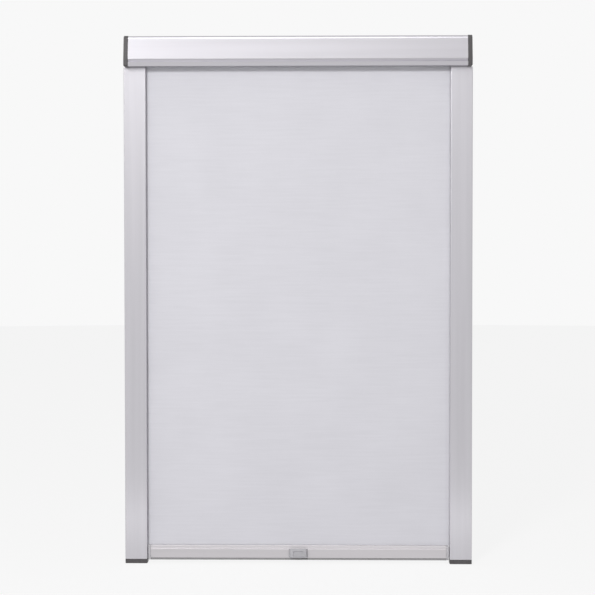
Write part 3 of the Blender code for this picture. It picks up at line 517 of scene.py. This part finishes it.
# The outer rim is rounded all the way but along the flat back.
pick(
    cap, "edges",
    lambda corners: all(near(c.x, cap_outer) for c in corners)
    and min(c.y for c in corners) < -0.0003,
)
bpy.ops.mesh.bevel(offset=cap_rim_radius, segments=5, profile=0.5, affect="EDGES")
finish_mesh(cap)
tongue = folded(
    "tongue", tongue_folds, "X", cap_inner - tongue_length, cap_inner + overlap, tongue_wall
)
finish_mesh(tongue)
boss = rod("boss", cap_inner - boss_length, cap_inner + overlap, boss_radius, roller_place)
prong = block(
    "prong", (cap_inner + prong_gap, prong_front, cap_low.z),
    (cap_outer - prong_gap, prong_back, prong_root - cap_top), prong_radius, "Z",
)
join(cap, tongue, boss, prong)
for y, z in screw_places:
    cut(
        cap,
        rod("bore", cap_inner - overcut, cap_outer, bore_radius, (y, z), 24),
        rod("head_recess", cap_outer - head_depth, cap_outer + overcut, head_radius, (y, z), 40),
    )
cut(
    cap,
    block(
        "socket", (cap_outer - socket_depth, socket_front, -socket_half),
        (cap_outer + overcut, socket_back, socket_half), 0.0015, "X",
    ),
)
left_cap = other_side(cap, "end_cap_left_side")
cap.name = "end_cap_right_side"
cut(
    cap,
    block(
        "tang_hole",
        (
            cap_inner - boss_length - overcut, roller_place[0] - tang_half_width,
            roller_place[1] - tang_half_height,
        ),
        (
            cap_inner + tang_depth, roller_place[0] + tang_half_width,
            roller_place[1] + tang_half_height,
        ),
    ),
)
cut(
    left_cap,
    rod(
        "bush_hole", -cap_inner - bush_depth, -cap_inner + boss_length + overcut, bush_radius,
        roller_place,
    ),
)
for piece, node in ((cap, "end_cap_right"), (left_cap, "end_cap_left")):
    soften(piece, 0.0002, 50, 1)
    finish_mesh(piece, 35)
    dress(piece, cap_grey, "frame", "cap_plastic", node)


# Screws, pin, shaft, collar, clip and springs
# The screws, the pin, the shaft and its collar are turned or headed steel with bright zinc
# plating. The clip and the springs are oiled spring steel. All keep their CAD shapes.


def plated(name, colour, roughness):
    """Zinc plate or bare spring steel: fine crystals, each a little duller or brighter."""
    made = bpy.data.materials.new(name)
    add = nodes_of(made)
    place = add("ShaderNodeTexCoord").outputs["Object"]
    crystals = add("ShaderNodeTexVoronoi", Vector=place, Scale=2200.0)
    smear = add("ShaderNodeTexNoise", Vector=place, Scale=300.0, Detail=3.0).outputs["Fac"]
    dull = add(
        "ShaderNodeMapRange",
        **{"Value": smear, "To Min": roughness - 0.10, "To Max": roughness + 0.12},
    )
    mix = add(
        "ShaderNodeMix", {6: shade(colour), 7: shade(colour, 0.86)},
        data_type="RGBA", Factor=crystals.outputs["Distance"],
    )
    bump = add("ShaderNodeBump", Strength=0.08, Distance=0.00003, Height=smear)
    coat(add, mix.outputs[2], dull.outputs["Result"], bump, Metallic=1.0)
    return made


def dress_nodes(material, *names):
    """Give carried-over CAD nodes their finish."""
    for name in names:
        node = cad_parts[name]
        node.data.materials.clear()
        node.data.materials.append(material)


dress_nodes(
    plated("zinc_plated_steel", (0.62, 0.63, 0.64), 0.34),
    "cap_screw_left_upper", "cap_screw_left_lower", "cap_screw_right_upper",
    "cap_screw_right_lower", "idle_pin", "spring_shaft", "shaft_collar",
)
dress_nodes(
    plated("oiled_spring_steel", (0.33, 0.33, 0.35), 0.38),
    "shaft_clip", "torsion_spring", "brake_spring_left", "brake_spring_right",
)


# Side rails
# Aluminium channels of the same finish with a nearly flat face, a slot along the inner
# edge for the cloth and the glides, and three countersunk holes for the sash screws.
rail_low, rail_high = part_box("rail_right")
rail_inner, rail_outer, rail_foot, rail_top = rail_low.x, rail_high.x, rail_low.z, rail_high.z
rail_wall, rail_radius, rail_crown = 0.0014, 0.0022, 0.0001
rail_face = rail_low.y + rail_crown
cloth_low, cloth_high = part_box("blackout_fabric")
cloth_y = (cloth_low.y + cloth_high.y) / 2
rail_slot_half = 0.0031
hole_from_end, hole_radius, sink_radius, sink_depth = 0.095, 0.0018, 0.0030, 0.0010
crown_steps = 12
crown = [
    (
        rail_inner + (rail_outer - rail_inner) * step / crown_steps,
        rail_face - rail_crown * (1 - (2 * step / crown_steps - 1) ** 2),
        0,
    )
    for step in range(1, crown_steps)
]
face_folds = [
    (rail_inner, rail_face, rail_radius), *crown, (rail_outer, rail_face, rail_radius)
]
along_z = (1, 1, 0.02)
rail_finish = satin("satin_aluminium_along_z", (0.540, 0.528, 0.559), along_z, 0.33)
rail = folded(
    "rail_right_side",
    [
        (rail_inner, cloth_y - rail_slot_half, 0), *face_folds, (rail_outer, 0, 0),
        (rail_inner, 0, 0), (rail_inner, cloth_y + rail_slot_half, 0),
    ],
    "Z", rail_foot, rail_top, rail_wall, steps=6,
)
finish_mesh(rail)
inside = rail_outer - rail_wall
for height in (rail_top - hole_from_end, (rail_top + rail_foot) / 2, rail_foot + hole_from_end):
    place = (cloth_y, height)
    cut(
        rail,
        rod("hole", inside - overcut, rail_outer + overcut, hole_radius, place, 32),
        rod("sink", inside - 0.0002, inside + sink_depth, sink_radius, place, 32, hole_radius),
    )
soften(rail, 0.0003)
finish_mesh(rail)
left_rail = other_side(rail, "rail_left_side")
dress(rail, rail_finish, "frame", "rail_aluminium", "rail_right")
dress(left_rail, rail_finish, "frame", "rail_aluminium", "rail_left")


# Rail feet
# Caps of the same dark plastic that close the rails' lower ends, each held by a prong
# inside its rail.
foot_low, foot_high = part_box("rail_foot_right")
foot_rim, foot_radius = rail_foot - 0.0003, 0.0005
foot = folded(
    "rail_foot_right_side",
    [((rail_inner + rail_outer) / 2, 0, 0), (rail_inner, 0, 0), *face_folds, (rail_outer, 0, 0)],
    "Z", foot_low.z, foot_rim, closed=True, steps=6,
)
pick(foot, "edges", lambda corners: all(near(c.z, foot_low.z) for c in corners))
bpy.ops.mesh.bevel(offset=foot_radius, segments=4, profile=0.5, affect="EDGES")
finish_mesh(foot)
join(
    foot,
    block(
        "prong", (rail_inner + rail_wall + prong_gap, prong_front, foot_rim - overlap),
        (rail_outer - rail_wall - prong_gap, prong_back, foot_high.z), prong_radius, "Z",
    ),
)
soften(foot, 0.0002, 50, 1)
finish_mesh(foot)
left_foot = other_side(foot, "rail_foot_left_side")
dress(foot, cap_grey, "frame", "cap_plastic", "rail_foot_right")
dress(left_foot, cap_grey, "frame", "cap_plastic", "rail_foot_left")


# Cloth
# Pale grey polyester, plainly woven and coated for blackout, 563 mm wide. It hangs from
# the roller with its edges in the rails. Its narrower hem is held in the bottom bar and
# travels with it.
cloth_half, cloth_top = cloth_high.x, cloth_high.z
cloth_thickness = cloth_high.y - cloth_low.y
hem_half, hem_depth = 0.2610, 0.0033
cloth_foot = cloth_low.z + hem_depth
wave_height = 0.0006


def woven(name, colour):
    """A fine plain weave with slightly uneven yarn under a matt coat."""
    made = bpy.data.materials.new(name)
    add = nodes_of(made)
    place = add("ShaderNodeTexCoord").outputs["Object"]
    across, down = (
        add(
            "ShaderNodeTexWave", bands_direction=way, Vector=place, Scale=420.0, Distortion=0.6
        ).outputs["Fac"]
        for way in "XZ"
    )
    yarn = add("ShaderNodeMath", {0: across, 1: down}, operation="MULTIPLY")
    long_yarn = add("ShaderNodeMapping", Vector=place, Scale=(0.05, 1, 1)).outputs[0]
    slub = add("ShaderNodeTexNoise", Vector=long_yarn, Scale=260.0, Detail=3.0).outputs["Fac"]
    cloud = add("ShaderNodeTexNoise", Vector=place, Scale=9.0, Detail=3.0).outputs["Fac"]
    tones = add("ShaderNodeMath", {0: slub, 1: cloud}, operation="ADD")
    tone = add(
        "ShaderNodeMapRange", **{"Value": tones.outputs[0], "From Min": 0.7, "From Max": 1.3}
    )
    mix = add(
        "ShaderNodeMix", {6: shade(colour, 0.975), 7: shade(colour, 1.025)},
        data_type="RGBA", Factor=tone.outputs["Result"],
    )
    gaps = add(
        "ShaderNodeMix", {6: mix.outputs[2], 7: yarn.outputs[0]},
        data_type="RGBA", blend_type="MULTIPLY", Factor=0.06,
    )
    bump = add("ShaderNodeBump", Strength=0.20, Distance=0.00006, Height=yarn.outputs[0])
    coat(add, gaps.outputs[2], 0.86, bump, **{"Sheen Weight": 0.10, "Sheen Roughness": 0.5})
    return made


cloth_grey = woven("pale_blackout_cloth", (0.720, 0.712, 0.758))
bpy.ops.object.select_all(action="DESELECT")
bpy.ops.mesh.primitive_grid_add(
    x_subdivisions=48, y_subdivisions=80, size=1, rotation=(pi / 2, 0, 0),
    location=(0, cloth_y, (cloth_top + cloth_foot) / 2),
)
cloth = bpy.context.object
cloth.scale = (2 * cloth_half, cloth_top - cloth_foot, 1)
started("cloth")
# Two slow shallow waves keep it from looking like a plate. They fade out at both ends.
for corner in cloth.data.vertices:
    share = min(1.0, max(0.0, (cloth_top - corner.co.z) / (cloth_top - cloth_foot)))
    slack = 4 * share * (1 - share)
    wave = 0.6 * sin(9.0 * corner.co.x + 2.5 * corner.co.z) + 0.4 * sin(21.0 * corner.co.z + 1.3)
    corner.co.y += wave_height * slack * wave
apply(cloth, "SOLIDIFY", thickness=cloth_thickness, offset=0)
finish_mesh(cloth)
dress(cloth, cloth_grey, "frame", "blackout_cloth", "blackout_fabric")
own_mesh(cloth)
hem = block(
    "cloth_hem", (-hem_half, cloth_y - cloth_thickness / 2, cloth_low.z),
    (hem_half, cloth_y + cloth_thickness / 2, cloth_foot),
)
finish_mesh(hem)
dress(hem, cloth_grey, "bar", "blackout_cloth")


# Spare turns of cloth
# They stay wound on the tube when the blind is down, in one spiral from the cloth's way
# out at the back to the tail that the keder holds in the tube's groove.
spare_turns, turn_gap, turn_steps = 2.25, 0.00045, 108
exit_radius = cloth_y - roller_place[0]
turn_pitch = cloth_thickness + turn_gap
tube_radius = exit_radius - turn_gap - cloth_thickness / 2 - spare_turns * turn_pitch
tail, tail_top, tail_foot = 0.0006, tube_radius + 0.00081, tube_radius - 0.0021
wound = spare_turns * tau - 2 * (tail + cloth_thickness) / tube_radius
turn_folds = []
for step in range(turn_steps + 1):
    turn = wound * step / turn_steps
    reach = exit_radius + cloth_thickness / 2 - turn_pitch * turn / tau
    turn_folds.append(
        (roller_place[0] + reach * cos(turn), roller_place[1] + reach * sin(turn), 0)
    )
for height in (tail_top, tail_foot):
    turn_folds.append((roller_place[0] + tail, roller_place[1] + height, 0))
winding = folded("cloth_winding", turn_folds, "X", -cloth_half, cloth_half, cloth_thickness)
finish_mesh(winding)
dress(winding, cloth_grey, "roller", "blackout_cloth", "fabric_winding")


# Roller
# A drawn aluminium tube with a groove for the cloth's keder. Black plugs close its ends
# and drive the spring. The keder, the bush and the hem's rod are white nylon. All keep
# their CAD shapes.
dress_nodes(satin("drawn_tube", (0.70, 0.70, 0.72), along_x, 0.33), "roller_tube")
dress_nodes(
    moulded("black_plug_plastic", (0.028, 0.028, 0.030), 0.45),
    "idle_plug", "bearing_plug", "spring_driver",
)
dress_nodes(
    moulded("white_nylon", (0.78, 0.78, 0.75), 0.42, speckle=0.03),
    "fabric_keder", "idle_bush", "hem_rod",
)


# Bottom bar
# An extrusion like the cassette: a flat upper part, a ridge, and a lower face that slopes
# back. It has a slot along its top for the cloth, a web inside, a slit underneath for the
# seal, and a hole for the handle's tenon.
bar_low, bar_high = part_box("bottom_bar")
bar_half, bar_foot, bar_top, bar_back = bar_high.x, bar_low.z, bar_high.z, bar_high.y
bar_wall, bar_radius = 0.0011, 0.0010
bar_front = cloth_y - 0.0042
ridge_y, ridge_z = bar_front - 0.0024, bar_top - 0.0064
ridge_rise, ridge_root_radius = 0.0012, 0.0005
lower_front = ridge_y + 0.0022
bar_slot_half, bar_slot_foot = 0.0012, bar_top - 0.0030
web_top, web_front = bar_top - 0.0080, ridge_y + 0.0007
handle_low, handle_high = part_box("pull_handle")
tenon_z = (handle_low.z + handle_high.z) / 2
tenon_half, tenon_half_height, tenon_gap, tenon_reach = 0.0070, 0.0024, 0.0003, 0.0027
seal_low, seal_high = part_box("bar_seal")
seal_y = (seal_low.y + seal_high.y) / 2
slit_half = 0.0009
bar = folded(
    "bottom_bar_extrusion",
    [
        (cloth_y - bar_slot_half, bar_slot_foot, 0),
        (cloth_y - bar_slot_half, bar_top, 0),
        (bar_front, bar_top, bar_radius),
        (bar_front, ridge_z + ridge_rise, ridge_root_radius),
        (ridge_y, ridge_z, bar_radius),
        (lower_front, bar_foot, bar_radius),
        (bar_back, bar_foot, bar_radius),
        (bar_back, bar_top, bar_radius),
        (cloth_y + bar_slot_half, bar_top, 0),
        (cloth_y + bar_slot_half, bar_slot_foot, 0),
    ],
    "X", -bar_half, bar_half, bar_wall, steps=6,
)
finish_mesh(bar)
join(
    bar,
    block(
        "web", (-bar_half, web_front, web_top - bar_wall),
        (bar_half, bar_back - bar_wall / 2, web_top),
    ),
)
cut(
    bar,
    block(
        "seal_slit", (-bar_half - overcut, seal_y - slit_half, bar_foot - overcut),
        (bar_half + overcut, seal_y + slit_half, bar_foot + bar_wall + 0.0002),
    ),
    block(
        "tenon_hole",
        (
            -tenon_half - tenon_gap, ridge_y - overcut,
            tenon_z - tenon_half_height - tenon_gap,
        ),
        (
            tenon_half + tenon_gap, ridge_y + tenon_reach,
            tenon_z + tenon_half_height + tenon_gap,
        ),
    ),
)
soften(bar, 0.00015)
finish_mesh(bar)
bar_finish = satin("satin_aluminium_bar", (0.566, 0.546, 0.564), along_x, 0.48)
dress(bar, bar_finish, "bar", "bar_aluminium", "bottom_bar")


# Bar seal
# A soft grey strip under the bar with rounded lower edges. Its barbed stem holds in the
# bar's slit.
strip_top = bar_foot - 0.0003
barb_foot = seal_high.z - 0.0010
stem_half, barb_half = 0.0006, 0.0016


def round_along(piece, height, radius, segments):
    """Round the two long edges at a height."""
    pick(
        piece, "edges",
        lambda corners: all(near(c.z, height) for c in corners)
        and near(corners[0].y, corners[1].y),
    )
    bpy.ops.mesh.bevel(offset=radius, segments=segments, profile=0.5, affect="EDGES")
    take(piece)


seal = block("seal_strip", seal_low, (bar_half, seal_high.y, strip_top))
round_along(seal, seal_low.z, 0.0005, 4)
barb = block(
    "barb", (-bar_half, seal_y - barb_half, barb_foot), (bar_half, seal_y + barb_half, seal_high.z)
)
round_along(barb, seal_high.z, 0.0007, 2)
stem = block(
    "stem", (-bar_half, seal_y - stem_half, strip_top - 0.0002),
    (bar_half, seal_y + stem_half, barb_foot + 0.0003),
)
join(seal, stem, barb)
finish_mesh(seal)
seal_grey = moulded("soft_grey_rubber", (0.31, 0.305, 0.31), 0.72, 2200.0)
dress(seal, seal_grey, "bar", "seal_rubber", "bar_seal")


# Pull handle
# A satin grey moulding with drafted sides and a shallow finger recess in its face. Its
# tenon snaps into the hole in the bar's lower face.
handle_half, handle_foot, handle_top = handle_high.x, handle_low.z, handle_high.z
handle_root = ridge_y - 0.0003
handle_back = handle_root + (lower_front - ridge_y) * (ridge_z - handle_foot) / (ridge_z - bar_foot)
reach_top, reach_nose, reach_foot = 0.0065, 0.0091, 0.0082
nose_height, nose_radius, foot_edge_radius, side_radius = 0.0030, 0.0018, 0.0014, 0.0010
draft = 0.36
recess_half, recess_foot, recess_top = 0.0090, handle_foot + 0.0032, handle_foot + 0.0125
recess_floor, recess_radius, recess_floor_radius = handle_root - 0.0045, 0.0020, 0.0017
tenon_root = handle_root - 0.0011
handle = folded(
    "pull_grip",
    [
        ((handle_root + handle_back) / 2, (ridge_z + handle_foot) / 2, 0),
        (handle_root, ridge_z, 0),
        (handle_root, handle_top, 0),
        (handle_root - reach_top, handle_top, nose_radius),
        (handle_back - reach_nose, handle_foot + nose_height, nose_radius),
        (handle_back - reach_foot, handle_foot, foot_edge_radius),
        (handle_back, handle_foot, 0),
    ],
    "X", -handle_half, handle_half, closed=True, steps=6,
)
pick(
    handle, "edges",
    lambda corners: near(corners[0].x, corners[1].x)
    and min(c.y for c in corners) < handle_root - 0.0003,
)
bpy.ops.mesh.bevel(offset=side_radius, segments=4, profile=0.5, affect="EDGES")
take(handle)
# The sides draw in towards the front, so that the grip leaves its mould.
for corner in handle.data.vertices:
    corner.co.x -= copysign(draft * (handle_back - corner.co.y), corner.co.x)
finish_mesh(handle)
recess = block(
    "recess", (-recess_half, handle_low.y - 0.0050, recess_foot),
    (recess_half, recess_floor, recess_top), recess_radius, "Y",
)
pick(recess, "faces", lambda corners: all(near(c.y, recess_floor) for c in corners))
bpy.ops.mesh.bevel(offset=recess_floor_radius, segments=5, profile=0.5, affect="EDGES")
take(recess)
cut(handle, recess)
join(
    handle,
    block(
        "tenon", (-tenon_half, tenon_root, tenon_z - tenon_half_height),
        (tenon_half, handle_high.y, tenon_z + tenon_half_height),
    ),
)
soften(handle, 0.0003, 50)
finish_mesh(handle)
grip_grey = moulded("grip_grey_plastic", (0.465, 0.458, 0.48), 0.38, 2400.0, 0.00003, 0.04)
dress(handle, grip_grey, "bar", "handle_plastic", "pull_handle")


# Glides and brakes
# Light grey glides close the bar's ends and run in the rails. In each, a leaf spring
# presses a felt pad on the rail's outer wall, which holds the bar wherever it is left.
glide_grey = moulded("glide_grey_plastic", (0.55, 0.54, 0.56), 0.45, speckle=0.05)
for side in ("left", "right"):
    take(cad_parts["glide_" + side])
    bpy.ops.object.duplicate()
    glide = bpy.context.object
    glide.name = "glide_moulding_" + side
    glide.parent = None
    bpy.ops.object.mode_set(mode="EDIT")
    bpy.ops.mesh.select_all(action="SELECT")
    bpy.ops.mesh.remove_doubles(threshold=0.000002)
    take(glide)
    soften(glide, 0.0002, 50)
    finish_mesh(glide)
    dress(glide, glide_grey, "bar", "glide_plastic", "glide_" + side)


def felted(name, colour):
    """Pressed felt: short fibres in every direction."""
    made = bpy.data.materials.new(name)
    add = nodes_of(made)
    place = add("ShaderNodeTexCoord").outputs["Object"]
    fibres = add(
        "ShaderNodeTexNoise", Vector=place, Scale=4000.0, Detail=4.0, Distortion=2.5
    ).outputs["Fac"]
    mix = add(
        "ShaderNodeMix", {6: shade(colour, 0.5), 7: shade(colour, 1.6)},
        data_type="RGBA", Factor=fibres,
    )
    bump = add("ShaderNodeBump", Strength=0.7, Distance=0.0002, Height=fibres)
    coat(add, mix.outputs[2], 0.95, bump, **{"Sheen Weight": 0.3})
    return made


felt = felted("dark_felt", (0.06, 0.06, 0.065))
for side in ("left", "right"):
    low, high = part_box("brake_pad_" + side)
    pad = block("felt_pad_" + side, low, high, 0.0008, "Y")
    soften(pad, 0.0004, 50, 3)
    apply(pad, "SUBSURF", levels=1, render_levels=1)
    finish_mesh(pad, 60)
    dress(pad, felt, "bar", "pad_felt", "brake_pad_" + side)


low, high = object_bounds()
